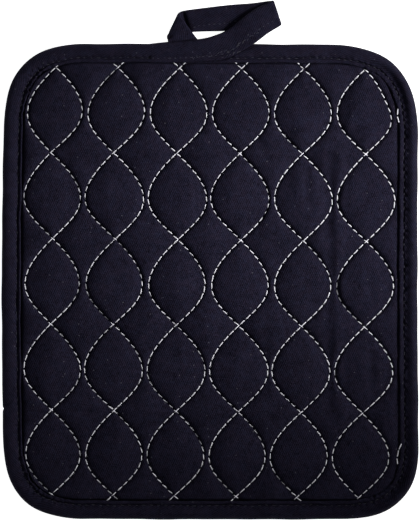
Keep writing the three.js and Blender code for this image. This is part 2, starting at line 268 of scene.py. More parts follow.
def inward_of(ring):
    """The way in at every point of a closed anticlockwise run of points."""
    ahead = unit(np.roll(ring, -1, axis=0) - np.roll(ring, 1, axis=0))
    return np.stack([-ahead[:, 1], ahead[:, 0]], axis=1)


def nearest_to(points, spots):
    """Index of the point that is nearest each spot, seen from above."""
    return np.linalg.norm(points[..., :2] - spots[:, None, :2], axis=2).argmin(axis=1)


def level_ways(ways):
    """Directions in the plane as level ones in space."""
    return np.column_stack([ways, np.zeros(len(ways))])


def headings(angle):
    """Level directions at some angles."""
    return level_ways(np.stack([np.cos(angle), np.sin(angle)], axis=1))


def outline_curve():
    """The outline as one closed run of points: a cubic round each corner, then its side."""
    share = shares(160)
    meets = [np.array([corner.x, corner.y]) for corner in CORNERS]
    spans = []
    for index, corner in enumerate(CORNERS):
        following = (index + 1) % len(CORNERS)
        here = meets[index]
        back = unit(meets[index - 1] - here)
        ahead = unit(meets[following] - here)
        start, end = here + back * corner.round_in, here + ahead * corner.round_out
        start_pull = start - back * corner.round_in * corner.fullness
        end_pull = end - ahead * corner.round_out * corner.fullness
        side_end = meets[following] - ahead * CORNERS[following].round_in
        outward = np.array([ahead[1], -ahead[0]])
        swell = (end + side_end) / 2 + outward * 2 * corner.bow
        spans.append(bezier([start, start_pull, end_pull, end], share))
        spans.append(bezier([end, swell, side_end], share))
    return np.vstack(spans)


OUTLINE = outline_curve()


def outline_stations(count):
    """Even stations anticlockwise from the hidden start under the tail, with the way in."""
    on_top = OUTLINE[:, 1] > 0
    first = np.argmin(np.where(on_top, np.abs(OUTLINE[:, 0] - BINDING_START_X), np.inf))
    line = np.roll(OUTLINE, -first, axis=0)
    line = np.vstack([line, line[:1]])
    length = travelled(line)
    along = np.linspace(0, length[-1], count, endpoint=False)
    places = points_at(line, length, along)
    return places, inward_of(places), along, length[-1]


def inset_of(x, y):
    """Distance from each point to the nearest point of the outline."""
    flat = np.stack([np.ravel(x), np.ravel(y)], axis=1)
    nearest = np.full(len(flat), np.inf)
    for part in np.array_split(np.arange(len(flat)), 40):
        gaps = np.linalg.norm(flat[part, None, :] - OUTLINE[None, ::2, :], axis=2)
        nearest[part] = gaps.min(axis=1)
    return nearest.reshape(np.shape(x))


def row_values(phase):
    """Height, middle, pitch and slope of the quilting at a phase, which runs on past its ends."""
    steps = np.arange(len(QUILT_ROWS))
    columns = np.array(QUILT_ROWS)
    middle, pitch, slope = (np.interp(phase, steps, columns[:, k]) for k in (1, 2, 3))
    last = QUILT_ROWS[-2].y - BOTTOM_ROW
    before, after = np.minimum(phase, 0), np.maximum(phase - steps[-1], 0)
    sag = WAVE_SAG * (1 - np.cos(2 * np.pi * phase)) / 2
    height = np.interp(phase, steps, columns[:, 0]) - before * WAVE_LENGTH - after * last - sag
    return height, middle, pitch, slope


def pair_centre(phase, pair):
    """Middle of a pair of waves, a little uneven from the sewing."""
    _, middle, pitch, _ = row_values(phase)
    if pair == WAVE_PAIRS:
        centre = middle + (WAVE_PAIRS - 1) / 2 * pitch + LAST_PAIR_STEP + LAST_PAIR_DRIFT * phase
    else:
        centre = middle + (pair - (WAVE_PAIRS - 1) / 2) * pitch
    return centre + 0.15 * waver(phase, 1.3, 40 + pair)


def wave_reach(phase, pair, side):
    """Signed distance of one wave of a pair from its middle: a sine of the phase, a little
    wider in every second almond and eased where it would run under the binding."""
    wave = np.sin(np.pi * phase)
    uneven = 1 + 0.014 * (1 - wave) + 0.008 * waver(phase, 1.9, 60 + pair)
    reach = side * WAVE_REACH * wave * uneven
    if pair == 0:
        reach = np.where(reach < 0, reach * 0.93, reach)
    if pair == WAVE_PAIRS - 1:
        early = bell(phase - 0.3, 0.26)
        reach = np.where(reach > 0, reach * (1 - 0.2 * early), reach)
    return reach


def pad_phases():
    """Phases of the pad's rows, closer where the margins meet the binding."""
    last = len(QUILT_ROWS) - 1
    top, bottom = OUTLINE[:, 1].max() - RIM_INSET, OUTLINE[:, 1].min() + RIM_INSET
    above = (top - 1.0 - TOP_ROW) / WAVE_LENGTH
    below = (BOTTOM_ROW - bottom - 1.0) / WAVE_LENGTH
    share = np.linspace(1, 0, MARGIN_ROWS, endpoint=False)
    within = np.linspace(0, last, last * ROWS_PER_WAVE + 1)
    return np.hstack([-above * share, within, last + below * share[::-1]])


def pad_sides(height):
    """The pad's left and right edges at each height."""
    inner = OUTLINE + RIM_INSET * inward_of(OUTLINE)
    sides = []
    for side in (-1, 1):
        half = inner[side * inner[:, 0] > 0]
        order = np.argsort(half[:, 1])
        sides.append(np.interp(height, half[order, 1], half[order, 0]))
    return sides


def pad_grid():
    """The pad's places and what its heights need, as arrays of rows by columns.

    Columns follow the waves, so every channel lies on a run of vertices. A band between two
    waves is divided more finely near them, and rows are cut off at the pad's edge.
    """
    phase = pad_phases()
    height, _, _, slope = row_values(phase)
    left, right = pad_sides(height)
    lip = LIP_INSET - RIM_INSET
    edges = [left + lip]
    for pair in range(WAVE_PAIRS):
        middle = pair_centre(phase, pair)
        sides = [wave_reach(phase, pair, side) for side in (-1, 1)]
        edges.append(middle + np.minimum(np.minimum(*sides), -WAVE_GAP / 2))
        edges.append(middle + np.maximum(np.maximum(*sides), WAVE_GAP / 2))
    edges.append(right - lip)
    edges = np.clip(np.stack(edges, axis=1), left[:, None], right[:, None])
    edges[:, 0] = np.minimum(edges[:, 0], edges[:, 1])
    edges[:, -1] = np.maximum(edges[:, -1], edges[:, -2])

    even = shares(BAND_SQUARES)
    share = blend(even, (1 - np.cos(np.pi * even)) / 2, 0.75)
    low, high = edges[:, :-1, None], edges[:, 1:, None]
    inner = (low + (high - low) * share).reshape(len(phase), -1)
    half = np.repeat((edges[:, 1:] - edges[:, :-1]) / 2, BAND_SQUARES, axis=1)
    across = np.tile(2 * share - 1, (len(phase), edges.shape[1] - 1))

    rim = shares(RIM_SQUARES)
    left_rim = left[:, None] + (edges[:, :1] - left[:, None]) * rim
    right_rim = edges[:, -1:] + (right[:, None] - edges[:, -1:]) * np.append(rim, 1)
    x = np.hstack([left_rim, inner, right_rim])
    x = np.clip(x, left[:, None], right[:, None])

    margins = ((0, 0), (RIM_SQUARES, RIM_SQUARES + 1))
    half, across = np.pad(half, margins), np.pad(across, margins, constant_values=1.0)
    y = height[:, None] + slope[:, None] * x
    return x, y, half, across, np.tile(phase[:, None], (1, x.shape[1]))


def along_wave(phase):
    """Length travelled down a wave by a phase, and how the wave leans there."""
    fine = np.linspace(-0.4, 5.4, 2400)
    line = np.stack([wave_reach(fine, 2, 1), row_values(fine)[0]], axis=1)
    length = travelled(line)
    lean = np.gradient(line[:, 0], length)
    start = np.interp(0, fine, length)
    return np.interp(phase, fine, length) - start, np.interp(phase, fine, lean)


def creased(x, y):
    """Relief of the listed creases: soft troughs and ridges that fade out at their ends."""
    relief = 0.0
    for x0, y0, x1, y1, width, rise in CREASES:
        way, length = unit(np.array([x1 - x0, y1 - y0])), np.hypot(x1 - x0, y1 - y0)
        along = (x - x0) * way[0] + (y - y0) * way[1]
        aside = (x - x0) * way[1] - (y - y0) * way[0] + 0.6 * np.sin(along / 9 + x0)
        held = smoothstep(along, -3, 4) * (1 - smoothstep(along, length - 4, length + 3))
        relief = relief + rise * held * bell(aside, width)
    return relief


def pad_top(x, y, half, across, phase):
    """Height of the quilted face.

    Each band is a crown, highest where it is wide, on the level of the stitches. A narrow
    groove follows each wave, and puckers as long as a stitch fade out away from it. The
    creases stop short of the waves.
    """
    inset = inset_of(x, y) + (LIP_SHIFT + 0.25) * smoothstep(x, 60, 85)
    column = np.arange(x.shape[1])[None, :] // BAND_SQUARES
    filling = 1 + 0.09 * np.sin(7.1 * column + 2.3 * np.floor(phase)) * (half > 1)
    filling = filling + 0.05 * waver(phase * 41 + 13 * column, 33, 5)
    leaning = across + 0.12 * (1 - across**2) * mottle(x, y, 60, 8)
    crown = np.maximum(1 - leaning**2, 0) ** PUFF_ROUNDNESS
    puff = PUFF_RISE * filling * (half / FULL_HALF_WIDTH) ** PUFF_WIDTH_POWER * crown

    length, lean = along_wave(phase)
    sideways = half * (1 - np.abs(across))
    gap = sideways * np.sqrt(1 - lean**2)
    turn = np.where(np.sin(np.pi * phase) >= 0, 1, -1) * np.sign(across)
    foot = length - sideways * lean * turn
    groove = GROOVE_DEPTH * bell(gap, GROOVE_WIDTH)
    pucker = PUCKER_RISE * np.cos(2 * np.pi * foot / STITCH_PITCH) * np.exp(-gap / PUCKER_REACH)
    drag = 0.09 * mottle(x, y, 9, 21) + 0.16 * mottle(x * 1.6, y * 0.7, 24, 22)
    drag = drag + 0.05 * mottle(x, y, 4.5, 23) * np.exp(-gap / 5)
    sewn = (half > 0.01).astype(float)
    creases = creased(x, y) * smoothstep(gap, 0, 2.2)
    panel = STITCH_HEIGHT + puff + sewn * (pucker - groove) + drag + creases
    release = smoothstep(inset, TOP_RELEASE, FULL_TOP_INSET)
    return blend(RIM_TOP, panel, release)


def pad_under(x, y, half, across):
    """Height of the under face: flat on the surface, with a groove along each wave."""
    inset = inset_of(x, y)
    gap = half * (1 - np.abs(across))
    groove = UNDER_GROOVE * (1 - smoothstep(gap, 0, UNDER_GROOVE_REACH))
    release = smoothstep(inset, UNDER_RELEASE, FLAT_UNDER_INSET)
    return blend(RIM_UNDER, groove, release)


def grid_quads(rows, columns, start=0):
    """Quads over a grid of vertices that are numbered row by row."""
    numbers = start + np.arange(rows * columns).reshape(rows, columns)
    corners = (numbers[:-1, :-1], numbers[1:, :-1], numbers[1:, 1:], numbers[:-1, 1:])
    return np.stack([corner.ravel() for corner in corners], axis=1), numbers


def band_quads(here, following):
    """Quads between runs of vertices that close on themselves, and the runs that follow."""
    beside = [np.roll(row, -1, axis=1) for row in (following, here)]
    return np.dstack([here, following, *beside]).reshape(-1, 4)


def rim_of(numbers):
    """Vertex numbers round the edge of a grid, down its left side first."""
    left, bottom = numbers[:-1, 0], numbers[-1, :-1]
    return np.hstack([left, bottom, numbers[:0:-1, -1], numbers[0, :0:-1]])


def new_piece(name, places, quads, uv=None):
    """A smooth mesh in metres from places in millimetres. Vertices at one place are welded,
    so squares that shrink to a line go and poles close."""
    mesh = bpy.data.meshes.new(name)
    mesh.from_pydata((places * MM).tolist(), [], quads.tolist())
    if uv is not None:
        layer = mesh.uv_layers.new(name="cloth")
        layer.data.foreach_set("uv", (uv * MM).ravel())
    work = bmesh.new()
    work.from_mesh(mesh)
    bmesh.ops.remove_doubles(work, verts=work.verts, dist=WELD_REACH)
    bmesh.ops.recalc_face_normals(work, faces=work.faces)
    work.to_mesh(mesh)
    work.free()
    mesh.polygons.foreach_set("use_smooth", np.ones(len(mesh.polygons), dtype=bool))
    piece = bpy.data.objects.new(name, mesh)
    bpy.context.scene.collection.objects.link(piece)
    return piece


def quilted_panel():
    """The filled pad: its quilted face, its under face and the wall between their rims. The
    under face is coarser, so each point of its rim is the foot of several wall squares."""
    x, y, half, across, phase = pad_grid()
    top = np.dstack([x, y, pad_top(x, y, half, across, phase)])
    coarse = [values[::UNDER_STRIDE, ::UNDER_STRIDE] for values in (x, y, half, across)]
    under = np.dstack([*coarse[:2], pad_under(*coarse)])
    top_quads, top_numbers = grid_quads(*x.shape)
    under_quads, under_numbers = grid_quads(*coarse[0].shape, start=x.size)
    upper = rim_of(top_numbers)
    lower = np.repeat(rim_of(under_numbers), UNDER_STRIDE)
    places = np.vstack([top.reshape(-1, 3), under.reshape(-1, 3)])
    foot = len(places) + np.arange(len(lower))
    places = np.vstack([places, places[lower]])
    wall = np.stack([upper, foot, np.roll(foot, -1), np.roll(upper, -1)], axis=1)
    quads = np.vstack([top_quads, under_quads[:, ::-1], wall])
    return new_piece("quilted_panel", places, quads)


def smooth_line(points, count):
    """Even points on a Catmull-Rom curve through the given ones."""
    points = np.asarray(points, float)
    ghost = np.vstack([2 * points[0] - points[1], points, 2 * points[-1] - points[-2]])
    share = shares(24)[:, None]
    spans = []
    for a, b, c, d in zip(ghost, ghost[1:], ghost[2:], ghost[3:]):
        pull = (2 * a - 5 * b + 4 * c - d) * share**2 + (3 * b - a - 3 * c + d) * share**3
        spans.append(0.5 * (2 * b + (c - a) * share + pull))
    line = np.vstack([*spans, points[-1:]])
    length = travelled(line)
    return points_at(line, length, np.linspace(0, length[-1], count))


BINDING_PROFILE = smooth_line(BINDING_OUTSIDE, 300)
UPPER_PROFILE = BINDING_PROFILE[: np.argmin(BINDING_PROFILE[:, 0])]


def binding_height(inset):
    """Height of the binding's upper face at an inset from the outline."""
    return np.interp(inset, UPPER_PROFILE[::-1, 0], UPPER_PROFILE[::-1, 1])


def edge_swell(x, y):
    """How far the outer edge stands out where the tail starts to leave it."""
    rising = smoothstep(x, SWELL_START, SWELL_PEAK)
    falling = 1 - smoothstep(x, SWELL_PEAK, SWELL_END)
    return np.where(y > 0, SWELL_RISE * rising * falling, 0.0)


def tail_cover(x, y):
    """1 where the loop's tail lies on the binding, fading just outside the tail's edge."""
    edge = np.array([section.outer[:2] for section in LOOP_SECTIONS[2:6]])
    level = np.interp(x, edge[:, 0], edge[:, 1])
    covered = smoothstep(y - level, -1.6, 1.0)
    return covered * smoothstep(x, edge[0, 0] - 4, edge[0, 0] + 6) * (1 - smoothstep(x, 22, 25))


def bend_of(inward):
    """How sharply the outline bends at each station, 0 on a side and 1 on a full corner."""
    turn = np.linalg.norm(np.roll(inward, -3, axis=0) - np.roll(inward, 3, axis=0), axis=1)
    return np.clip(turn / turn.max() * 1.4, 0, 1)


def bite(along):
    """1 where a stitch of the binding pulls the cloth down, 0 half way between two."""
    return (0.5 + 0.5 * np.cos(2 * np.pi * along / FURROW_PITCH)) ** 1.5


def roundness(inward):
    """How round the binding's crown stands: full on the right, where it is bound loosely."""
    return 0.15 + 0.85 * smoothstep(0.35 * inward[:, 1] - 0.9 * inward[:, 0], -0.1, 0.85)


def crown_of(inward):
    """How strongly the crown is rounded, which is most at the right corners."""
    corner = 2 * np.clip(-inward[:, 0], 0, 1) * np.abs(inward[:, 1])
    return roundness(inward) * (1 + 1.2 * corner)


def furrow_depth(inward):
    """How deep the furrow is bitten: deep on the left and right, shallow along the top and
    round the upper right corner."""
    x, y = inward.T
    corner = 2 * np.clip(x, -1, 0) * np.clip(y, -1, 0)
    return (1 - 0.6 * corner) * (1 - 0.5 * smoothstep(-y, 0.6, 1.0) - 0.3 * smoothstep(y, 0.6, 1.0))


def furrow_middle(inward, along):
    """Inset of the furrow: nearer the edge where the crown is round, nearer the lip on the
    left, and a little uneven."""
    leftward = smoothstep(inward[..., 0], 0.3, 0.95)
    middle = FURROW_INSET - FURROW_SHIFT * roundness(inward) + 0.35 * leftward
    return middle + 0.2 * waver(along, 21, 38)


def pleat_relief(inset, along, marks):
    """Grooves across the lip at the eased corners, each with a ridge beside it: the groove
    leans along the lip and the pair fades out toward the crown."""
    relief = step = 0.0
    for mark, depth in marks:
        lean = along - mark - 0.7 * (inset - FURROW_INSET)
        groove = bell(lean, 0.55)
        ridge = bell(lean - 1.7, 1.1)
        relief = relief + depth * (0.75 * ridge - 1.1 * groove)
        step = step + depth * (0.9 * ridge - 0.9 * groove)
    return relief, step


def binding_surface(outside, along, inward, marks, join):
    """The binding's section at each station, made uneven as sewn bias tape is.

    The furrow is a narrow slot with a bite at each stitch, the lip wavers and is pleated at the
    corners, slanting drags cross the crown, and the join is a groove with one side raised.
    """
    middle = furrow_middle(inward, along)[:, None]
    inset, height, along = outside[None, :, 0], outside[None, :, 1], along[:, None]
    measures = (bend_of, roundness, crown_of, furrow_depth)
    bend, full, crowned, bitten = (measure(inward)[:, None] for measure in measures)
    left = smoothstep(inward[:, :1], 0.3, 0.95)
    upper = smoothstep(height, 2.4, 4.4)
    edge = 1 - smoothstep(inset, 0, 4)
    reach = np.where(inset > middle, 0.45 + 0.6 * left, 0.45)
    slot = bell(inset - middle, reach) * upper
    tooth = bell(inset - middle + 0.75, 0.65) * upper
    lip = smoothstep(inset, middle + 0.4, LIP_INSET - 0.6) * upper
    crown = upper * (1 - smoothstep(inset, 5.2, 6.6))
    high = height - (0.8 + 0.3 * bitten + 0.2 * waver(along, 13, 31)) * slot
    teeth = bite(along + 0.6 * waver(along, 8, 42)) * (0.8 + 0.35 * waver(along, 9, 41))
    high -= bitten * tooth * teeth
    gather = smoothstep(inset, 3.5, 6.5) * upper
    high += 0.3 * bitten * bend * gather * waver(along + 0.5 * inset, 3.6, 43)
    swell = 0.7 * bell(inset - 2.1, 1.4)
    waist = 0.65 * bell(inset - 5.1, 1.3)
    high += crowned * upper * (swell - waist)
    slant = along - inset
    high += crown * (0.1 * waver(slant, 5.3, 32) + 0.16 * waver(along, 31, 33))
    high += lip * (0.08 * waver(along, 9, 34) + 0.3 * bend * waver(along, 6.5, 35))
    high -= 0.1 * lip * bite(along + 1.2)
    relief, step = pleat_relief(inset, along, marks)
    high += np.maximum(lip, 0.7 * tooth) * relief
    wander = 0.22 * waver(along, 27, 36) + 0.2 * bend * waver(along, 8.3, 37) + 0.6 * step
    across = inset + lip * wander - LIP_SHIFT * full * lip - EDGE_FULLNESS * full * edge
    across = across + 0.12 * waver(along, 34, 39) * edge
    seam = along - join + 0.9 * (inset - FURROW_INSET)
    raised = 0.25 * bell(seam - 2.4, 1.8)
    high -= crown * (0.55 * bell(seam, 0.5) - raised)
    across = across + 0.5 * (1 - smoothstep(inset, 0, 1.5)) * bell(seam, 0.7)
    return across, np.maximum(high, blend(height, 3.25, upper))


def binding_section():
    """The outside of the section, its points closer together where the furrow is."""
    line = BINDING_PROFILE
    near = bell(line[:, 0] - 7.2, 1.9) * (line[:, 1] > 3)
    weight = np.cumsum(0.35 + 2.2 * near)
    return points_at(line, weight, np.linspace(weight[0], weight[-1], OUTSIDE_POINTS))


def reach_at(line, along, spot):
    """Length round the outline where a line that runs with it is nearest a place."""
    return along[np.argmin(np.linalg.norm(line - spot, axis=1))]


def edge_binding():
    """The tape round the edge: its uneven section carried along the outline."""
    places, inward, along, total = outline_stations(BINDING_STATIONS)
    outside, inside = binding_section(), smooth_line(BINDING_INSIDE, INSIDE_POINTS)
    furrow = places + inward * FURROW_INSET
    marks = [(reach_at(furrow, along, (x, y)), depth) for x, y, depth in PLEATS]
    worked = binding_surface(outside, along, inward, marks, reach_at(furrow, along, JOIN_PLACE))
    inset, height = (
        np.hstack([values, np.tile(plain, (len(along), 1))])
        for values, plain in zip(worked, inside.T)
    )
    swell = edge_swell(places[:, 0], places[:, 1])[:, None] * (1 - inset / LIP_INSET)
    spot = places[:, None, :] + inward[:, None, :] * (inset - swell)[:, :, None]
    pressed = tail_cover(spot[:, :, 0], spot[:, :, 1]) * smoothstep(height, 3.0, 4.6)
    surface = np.dstack([spot, height - TAIL_PRESS * pressed])
    developed = travelled(outside)
    developed = np.hstack([developed, developed[-1] + 2 + travelled(inside)])
    return closed_band("bound_edge", surface, np.append(along, total), developed, ring=True)


def closed_band(name, surface, along, developed, ring):
    """A tube-like piece from sections that each close on themselves, with the cloth's own
    length and width as its UV map. A ring joins its ends, and another shape gets them capped."""
    stations, size = surface.shape[:2]
    spans = stations if ring else stations - 1
    numbers = np.arange(stations * size).reshape(stations, size)
    quads = band_quads(numbers[:spans], np.roll(numbers, -1, axis=0)[:spans])
    low = np.broadcast_to(developed, (stations, size))[:spans]
    high = np.column_stack([low[:, 1:], 2 * low[:, -1] - low[:, -2]])
    near, far = (np.tile(end[:, None], size) for end in (along[:spans], along[1 : spans + 1]))
    uv = np.dstack([near, low, far, low, far, high, near, high]).reshape(-1, 2)
    if not ring:
        pairs = np.arange(size // 2 - 1)
        corners = (pairs, pairs + 1, size - 2 - pairs, size - 1 - pairs)
        for row in (numbers[0], numbers[-1]):
            cap = np.stack([row[corner] for corner in corners], axis=1)
            quads = np.vstack([quads, cap])
            uv = np.vstack([uv, np.zeros((4 * len(cap), 2))])
    return new_piece(name, surface.reshape(-1, 3), quads, uv)


def tape_lines():
    """Lines across the loop's tape: edges, thickness, hug, sewn row and facing, with two folds.

    Between folds the edges run on smooth curves through the sections. A fold swings the line
    round its own axis on a small half circle until the tape faces the other way, and along
    the axis as a slanting strip does.
    """
    lines, facing, run = [], 1.0, []
    for index, section in enumerate(LOOP_SECTIONS):
        outer, inner, rest = np.array(section.outer), np.array(section.inner), section[2:5]
        if not section.fold:
            run.append(np.hstack([outer, inner, rest]))
            continue
        axis = unit(inner - outer)
        before = run[-1][:3]
        arrival = (inner + outer - before - run[-1][3:6]) * [1, 1, 0]
        lean = np.dot(unit(arrival), axis)
        advance = np.pi * FOLD_RADIUS * lean / np.sqrt(1 - lean**2) * axis
        rise = np.sign(LOOP_SECTIONS[index + 1].outer[2] - before[2])
        start = np.array([0.0, 0.0, -rise])
        sideways = np.cross(axis, start)
        sideways = sideways * np.sign(np.dot(sideways, (outer - before) * [1, 1, 0]))
        angle = np.linspace(0, np.pi, FOLD_STEPS + 1)[:, None]
        arms = start * np.cos(angle) + sideways * np.sin(angle)
        drift = advance * np.linspace(-0.5, 0.5, FOLD_STEPS + 1)[:, None]
        turned = np.hstack([edge + arms * FOLD_RADIUS + drift for edge in (outer, inner)])
        lines += run_lines([*run, np.hstack([turned[0], rest])], facing)
        for arm, edges in zip(arms[1:-1], turned[1:-1]):
            lines.append((edges, section.thickness, 0.0, section.seam, arm * -rise * facing))
        run = [np.hstack([turned[-1], rest])]
        facing = -facing
    return lines + run_lines(run, facing)


def run_lines(run, facing):
    """Lines of one flat run of the tape, on smooth curves through its sections."""
    values = smooth_line(run, SPAN_STEPS * (len(run) - 1) + 1)
    up = np.array([0.0, 0.0, facing])
    return [(value[:6], value[6], np.clip(value[7], 0, 1), value[8], up) for value in values]


def tape_section():
    """Round the tape's section: place across it and height in half thicknesses.

    One long edge is a fold and is round. The other has the tape's two open edges, so it is
    blunter, with a slit between them.
    """
    across = np.hstack([0.0, blend(0.012, 0.988, np.linspace(0, 1, 25)), 1.0])
    edge = np.minimum(across * 11.8, 1.15) / 1.15
    fold = np.minimum((1 - across) * 11.8, 0.9) / 0.9
    height = np.sqrt(np.clip(1 - (1 - edge) ** 4, 0, 1) * np.clip(1 - (1 - fold) ** 2, 0, 1))
    height[0] = 0.12
    upper = np.stack([across, height], axis=1)
    lower = np.stack([across[::-1], -height[::-1]], axis=1)
    slit = np.array([[0.06, 0.0]])
    return np.vstack([upper, lower[1:], slit])


def loop_surface():
    """The loop's tape: its section carried along its lines, hugging the binding at its tail."""
    edges, thickness, hug, seam, face = (np.array(values) for values in zip(*tape_lines()))
    thickness, hug, seam = thickness[:, None], hug[:, None], seam[:, None]
    outer, inner = edges[:, :3], edges[:, 3:]
    along = travelled((outer + inner) / 2)
    width = np.linalg.norm(inner - outer, axis=1)[:, None]

    across, height = tape_section().T[:, None]
    furrow = bell(across * width - seam, 0.6) * np.sign(height)
    pull = 0.28 * furrow * (0.4 + 0.6 * bite(along[:, None] + 1)) * smoothstep(thickness, 0.3, 1.2)
    limp = 0.16 * waver(along[:, None] + 4 * across, 23, 51) * smoothstep(thickness, 1.2, 1.8)
    place = outer[:, None] + (inner - outer)[:, None] * across[:, :, None]
    lift = height * thickness / 2 - pull
    surface = place + face[:, None, :] * (lift + limp * np.sign(face[:, 2:]))[:, :, None]
    hugging = binding_height(np.clip(LIP_INSET * (1 - across), 0.05, 9.2)) + 0.07
    sunk = 0.35 * (1 - smoothstep(along, 0, 6))[:, None]
    hugged = hugging + (height - 1) * thickness / 2 - pull - sunk
    surface[:, :, 2] = blend(surface[:, :, 2], hugged, hug)
    surface[:, :, 2] = np.maximum(surface[:, :, 2], 0.0)
    return surface, along, width, edges, seam


def hanging_loop():
    """The loop's tape. Its weave runs the other way past the second fold."""
    surface, along, width, _, _ = loop_surface()
    section = tape_section()
    developed = np.where(
        np.arange(len(section)) < len(section) // 2, section[:, 0], 2.15 - section[:, 0]
    ) * width.mean()
    last_run = np.arange(len(surface)) > len(surface) - 2 * SPAN_STEPS - FOLD_STEPS // 2
    developed = np.where(last_run[:, None], -developed, developed)
    places, _, reach, _ = outline_stations(BINDING_STATIONS)
    start = reach_at(places, reach, LOOP_SECTIONS[0].inner[:2])
    return closed_band("folded_loop", surface, start - along, developed, ring=False)


def dash_shape():
    """One stitch of two-ply thread, of unit length and radius: a round rod that bows upward,
    its ends dipping and closing, its section two lobes that turn along it."""
    share = np.sin(np.linspace(-np.pi / 2, np.pi / 2, DASH_RINGS))[:, None]
    angle = np.linspace(0, 2 * np.pi, DASH_SIDES, endpoint=False)[None, :]
    lobes = 1 + 0.12 * np.cos(2 * (angle - np.pi * PLY_TWIST * share))
    radius = np.sqrt(np.clip(1 - np.abs(share) ** 9, 0, 1)) * lobes
    x = share / 2 * np.ones_like(angle)
    shape = np.dstack([x, radius * np.cos(angle), radius * np.sin(angle)])
    numbers = np.arange(DASH_RINGS * DASH_SIDES).reshape(DASH_RINGS, DASH_SIDES)
    quads = band_quads(numbers[:-1], numbers[1:])
    return shape.reshape(-1, 3), quads, np.repeat(share[:, 0], DASH_SIDES)


def dashes(name, centres, ahead, up, length, radius, dip):
    """Many stitches as one piece, each along its own direction. Their ends sink by the dip."""
    shape, quads, share = dash_shape()
    side = unit(np.cross(up, ahead))
    up = unit(np.cross(ahead, side))
    length = np.broadcast_to(length, len(centres))[:, None, None]
    x, y, z = (shape[None, :, axis, None] for axis in range(3))
    spot = centres[:, None, :] + ahead[:, None, :] * x * length
    spot = spot + side[:, None, :] * y * radius
    spot = spot + up[:, None, :] * (z * radius * 0.85 - dip * share[None, :, None] ** 4)
    numbers = quads[None, :, :] + len(shape) * np.arange(len(centres))[:, None, None]
    return new_piece(name, spot.reshape(-1, 3), numbers.reshape(-1, 4))


def wave_line(pair, side):
    """One wave from the top margin to the bottom one, as fine points in the plane."""
    phase = np.linspace(-0.3, len(QUILT_ROWS) - 1 + 0.3, 3000)
    x = pair_centre(phase, pair) + wave_reach(phase, pair, side)
    height, _, _, slope = row_values(phase)
    return np.stack([x, height + slope * x], axis=1)


def wave_stitches():
    """Places, directions and insets of the quilting stitches that show inside the binding."""
    spots, ways = [], []
    lines = [(pair, side) for pair in range(WAVE_PAIRS) for side in (-1, 1)] + [(WAVE_PAIRS, -1)]
    for index, (pair, side) in enumerate(lines):
        line = wave_line(pair, side)
        length = travelled(line)
        start = np.interp(0, line[::-1, 1] - TOP_ROW, length[::-1])
        chance = np.random.default_rng(70 + index)
        first = start - 8 * STITCH_PITCH + STITCH_PITCH * chance.uniform(0, 1)
        marks = np.arange(first, length[-1], STITCH_PITCH)
        marks = marks + chance.normal(0, 0.07, len(marks))
        marks = marks[marks > 0]
        spots.append(points_at(line, length, marks))
        ways.append(unit(spots[-1] - points_at(line, length, marks - 1)))
    spots, ways = np.vstack(spots), np.vstack(ways)
    inset = inset_of(*spots.T)
    within = np.abs(spots - [0, OUTLINE[:, 1].mean()]) < STITCHED_REACH
    shown = (inset > LIP_INSET - 0.6) & within.all(axis=1)
    return spots[shown], ways[shown], inset[shown]


def slanted(ways):
    """Stitches lean off their line by an angle that goes with the line's own direction, as
    the lock of a machine stitch does: none on a rising run, most on a falling one."""
    angle = np.arctan2(ways[:, 1], ways[:, 0])
    return headings(angle + np.radians(STITCH_SLANT) * (1 - np.sin(2 * angle)))


def quilting_stitches():
    """White thread on the quilted face, sunk a little in its channel."""
    spots, ways, inset = wave_stitches()
    release = smoothstep(inset, TOP_RELEASE, FULL_TOP_INSET)
    level = blend(LIP_STITCH_HEIGHT, STITCH_HEIGHT - GROOVE_DEPTH + PUCKER_RISE, release)
    level = np.where(spots[:, 0] > LAST_PAIR_EDGE, EDGE_STITCH_HEIGHT, level)
    centres = np.column_stack([spots, level + STITCH_RADIUS * 0.75])
    chance = np.random.default_rng(9)
    rising = np.clip(2 * ways[:, 0] * ways[:, 1], 0, 1)
    length = blend(STITCH_LENGTH, RISING_STITCH_LENGTH, rising)
    length = length + chance.normal(0, 0.1, len(centres))
    return dashes("wave_stitches", centres, slanted(ways), UP, length, STITCH_RADIUS, 0.4)


def under_stitches():
    """The same waves on the under face, in their grooves and clear of the surface."""
    spots, ways, inset = wave_stitches()
    shown = inset > LIP_INSET + 0.4
    spots, ways, inset = spots[shown], ways[shown], inset[shown]
    release = smoothstep(inset, UNDER_RELEASE, FLAT_UNDER_INSET)
    level = blend(RIM_UNDER, UNDER_GROOVE, release) - 0.25
    centres = np.column_stack([spots, level])
    return dashes("under_stitches", centres, level_ways(ways), DOWN, STITCH_LENGTH, 0.3, 0.25)


def furrow_stitches():
    """Places and directions of the stitches in the binding's furrow, out of the tail's way."""
    places, inward, along, total = outline_stations(FURROW_STATIONS)
    marks = np.arange(0, total, FURROW_PITCH)
    index = np.searchsorted(along, marks).clip(0, len(along) - 1)
    places, inward = places[index], inward[index]
    inset = furrow_middle(inward, marks)
    spot = places + inward * (inset - 0.1)[:, None]
    ways = np.stack([inward[:, 1], -inward[:, 0]], axis=1)
    depth = 0.5 + 0.35 * furrow_depth(inward) + 0.2 * waver(marks, 13, 31)
    centres = np.column_stack([spot, binding_height(inset) - depth])
    shown = (spot[:, 1] < 0) | (np.abs(spot[:, 0] + 11) > 18)
    return centres[shown], level_ways(ways)[shown]


